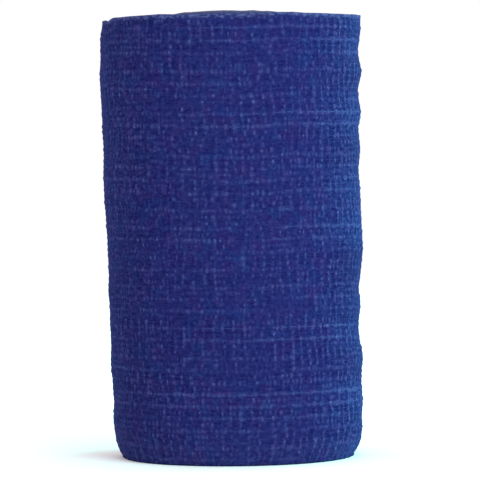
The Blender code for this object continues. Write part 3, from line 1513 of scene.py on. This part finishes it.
@dataclass
class ElasticYarns:
    """The yarns that run along the outer turn, one in each row of puckers."""

    turn: OuterTurn
    finish: YarnFinish = YarnFinish()
    radius: float = 0.15 * MM
    fuller: float = 0.25
    sides: int = 4
    station_gap: float = 0.9 * MM
    sunk: float = 0.15 * MM
    stray: float = 0.05 * MM
    stray_cell: tuple[float, float] = (5 * MM, 0.6 * MM)
    stray_reach: float = 1.1
    rise: float = 0.12 * MM
    near: float = 0.12
    loose_end: float = 0.8 * MM
    least_loose: float = 0.1

    def build(self) -> bpy.types.Object:
        """Make the piece.

        Returns:
            All the yarns, as one mesh.
        """
        held, crepe = self.turn, self.turn.crepe
        rows = np.arange(1, crepe.rows)[:, None]
        steps = round(held.length / self.station_gap)
        ends = self.loose_end * Seed.YARN_RISE.draws().uniform(self.least_loose, 1.0, rows.shape)
        last = held.form.turns + ends / held.length
        turn = mix(held.first, last, np.linspace(0, 1, steps)[None, :])
        place = rows + 0 * turn
        along, across = held.along(turn), place * crepe.row_pitch
        height = held.height(turn, place)
        reach = (self.stray_reach * crepe.length, crepe.width)
        noise = SmoothNoise(Seed.YARN_WANDER, self.stray_cell, reach)
        proud = np.maximum(held.proud(turn, place), self.near * np.isin(place, NEAR_ROWS))
        level = self.stray * noise.at(along, across) - self.sunk + self.rise * proud
        line = held.form.place(turn, height, held.face(turn, height, level))
        rings = threads(line, self.radius * (1 + self.fuller * proud), self.sides)
        layers = {"lift": proud, "along": along, "across": across}
        layers = {name: values[:, :, None] for name, values in layers.items()}
        return Tubes("elastic_yarns", rings, layers).build(self.finish.material())


@dataclass
class LooseFibres:
    """Lint on the outer turn's face and frayed ends along its cut edges."""

    turn: OuterTurn
    finish: LintFinish = LintFinish()
    on_face: int = 360
    on_tail: int = 160
    on_edge: int = 260
    on_top: float = 0.8
    clear_of_cut: float = 0.004
    clear_of_lap: float = 0.01
    tail_reach: float = 0.003
    clear_of_edge: float = 0.5
    below_top: float = 0.1
    above_foot: float = 0.4
    past_foot: float = 0.2
    past_top: float = 0.15
    flattest: float = 0.2
    longest: float = 2.0 * MM
    shortest: float = 0.6 * MM
    bend: float = 1.2
    radius: float = 0.022 * MM
    taper: float = 0.75
    stand: float = 0.12 * MM
    stations: int = 7
    sides: int = 3

    def build(self) -> bpy.types.Object:
        """Make the piece.

        Returns:
            All the fibres, as one mesh.
        """
        held, form, crepe = self.turn, self.turn.form, self.turn.crepe
        draw = Seed.LINT.draws()
        count = self.on_face + self.on_tail + self.on_edge
        lap, cut = form.turns - 1 + self.clear_of_lap, form.turns - self.clear_of_cut
        turn = draw.uniform(lap, cut, (count, 1))
        place = draw.uniform(self.clear_of_edge, crepe.rows - self.clear_of_edge, (count, 1))
        tail, edge = slice(self.on_face, -self.on_edge), slice(-self.on_edge, None)
        turn[tail] = form.turns - draw.uniform(0, self.tail_reach, (self.on_tail, 1))
        at_top = draw.uniform(0, 1, (self.on_edge, 1)) < self.on_top
        place[edge] = np.where(at_top, crepe.rows - self.below_top, self.above_foot)
        length = draw.uniform(self.shortest, self.longest, (count, 1))
        step = np.linspace(-0.5, 0.5, self.stations)[None, :]
        heading = draw.uniform(0, 2 * math.pi, (count, 1))
        heading = heading + draw.normal(0, self.bend, (count, 1)) * step
        run = length / (self.stations - 1)
        turn = turn + np.cumsum(run * np.cos(heading), axis=1) / held.length
        aside = np.cumsum(run * np.sin(heading), axis=1) / crepe.row_pitch
        place = np.clip(place + aside, self.past_foot, crepe.rows + self.past_top)
        inside = np.minimum(turn, form.turns)
        relief = crepe.relief_at(held.along(inside), np.clip(place, 0, crepe.rows))
        arch = np.sin(math.pi * (step + 0.5)) * draw.uniform(self.flattest, 1.0, (count, 1))
        height = held.height(inside, place)
        reach = held.face(inside, height, relief) + self.radius + self.stand * arch
        thick = self.radius * (1 - self.taper * np.abs(2 * step)) * np.ones((count, 1))
        rings = threads(form.place(turn, height, reach), thick, self.sides)
        layers = {"lift": draw.uniform(0, 1, (count, 1, 1))}
        return Tubes("loose_fibres", rings, layers).build(self.finish.material())


# ---------------------------------------------------------------- the studio


@dataclass(frozen=True)
class SoftLight:
    """A large soft light that faces the roll. Its power is in watts, and its elevation in degrees."""

    name: str
    power: float
    bearing: float
    elevation: float
    colour: tuple[float, float, float]
    size: float = 0.9
    distance: float = 1.3
    aim: float = 50 * MM

    def hang(self) -> None:
        """Hang the light."""
        light = bpy.data.lights.new(self.name, "AREA")
        light.shape = "DISK"
        light.size = self.size
        light.energy = self.power
        light.color = self.colour
        lamp = bpy.data.objects.new(self.name, light)
        bearing, rise = math.radians(self.bearing), math.radians(self.elevation)
        level = math.cos(rise)
        way = Vector((math.cos(bearing) * level, math.sin(bearing) * level, math.sin(rise)))
        lamp.location = way * self.distance + Vector((0, 0, self.aim))
        lamp.rotation_euler = way.to_track_quat("Z", "Y").to_euler()
        bpy.context.scene.collection.objects.link(lamp)


@dataclass
class Studio:
    """The floor, the lights and the camera."""

    finish: FloorFinish = FloorFinish()
    floor_size: float = 6.0
    floor_gap: float = 0.05 * MM
    ambient: Colour = (1.0, 0.95, 0.955, 1.0)
    ambient_strength: float = 1.06
    lights: tuple[SoftLight, ...] = (
        SoftLight("key", power=14.8, bearing=302.0, elevation=25.0, colour=(0.48, 0.96, 0.96)),
        SoftLight("side", power=27.5, bearing=390.0, elevation=12.0, colour=(0.12, 0.98, 0.81)),
    )
    camera_distance: float = 0.640
    camera_height: float = 58 * MM
    camera_across: float = 1.83 * MM
    camera_pitch: float = 0.70
    camera_roll: float = 0.65
    lens: float = 206.0
    sensor: float = 36.0

    def build(self) -> None:
        """Set the studio up."""
        self._floor()
        self._world()
        for light in self.lights:
            light.hang()
        self._camera()
        bpy.context.scene.view_settings.view_transform = "Standard"

    def _floor(self) -> None:
        """Lay the floor just under the roll."""
        half = self.floor_size / 2
        corners = [(-half, -half), (half, -half), (half, half), (-half, half)]
        mesh = bpy.data.meshes.new("floor")
        mesh.from_pydata([(x, y, -self.floor_gap) for x, y in corners], [], [(0, 1, 2, 3)])
        mesh.materials.append(self.finish.material())
        floor = bpy.data.objects.new("floor", mesh)
        bpy.context.scene.collection.objects.link(floor)

    def _world(self) -> None:
        """Light everything evenly with a nearly neutral white."""
        world = bpy.data.worlds.new("studio")
        world.use_nodes = True
        sky = world.node_tree.nodes["Background"]
        sky.inputs["Color"].default_value = self.ambient
        sky.inputs["Strength"].default_value = self.ambient_strength
        bpy.context.scene.world = world

    def _camera(self) -> None:
        """Stand the camera where the photograph was taken from."""
        camera = bpy.data.cameras.new("camera")
        camera.lens = self.lens
        camera.sensor_width = self.sensor
        stand = bpy.data.objects.new("camera", camera)
        stand.location = (self.camera_across, -self.camera_distance, self.camera_height)
        tilt = Euler((math.radians(90 - self.camera_pitch), 0, 0)).to_matrix()
        spin = Euler((0, 0, math.radians(-self.camera_roll))).to_matrix()
        stand.rotation_euler = (tilt @ spin).to_euler()
        bpy.context.scene.collection.objects.link(stand)
        bpy.context.scene.camera = stand


def main() -> None:
    """Build the bandage and its studio, and hide the imported solid."""
    logging.basicConfig(level=logging.INFO, format="%(name)s: %(message)s")
    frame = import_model()
    Studio().build()
    form = RollForm(frame["nodes"][NODE])
    edges = CutEdges(form)
    outer = OuterTurn(form, edges)
    inner = InnerTurns(form, edges, outer.first)
    outer_piece = outer.build()
    log.info("%s: %.0f mm of cloth", outer_piece.name, outer.length / MM)
    inner_piece = inner.build()
    log.info("%s: %.0f mm of cloth in %d turns", inner_piece.name, inner.length / MM, form.turns)
    yarns = ElasticYarns(outer).build()
    log.info("%s: %d yarns", yarns.name, outer.crepe.rows - 1)
    fibres = LooseFibres(outer).build()
    log.info("%s: laid on the outer turn", fibres.name)
    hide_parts(NODE)


if __name__ == "__main__":
    main()
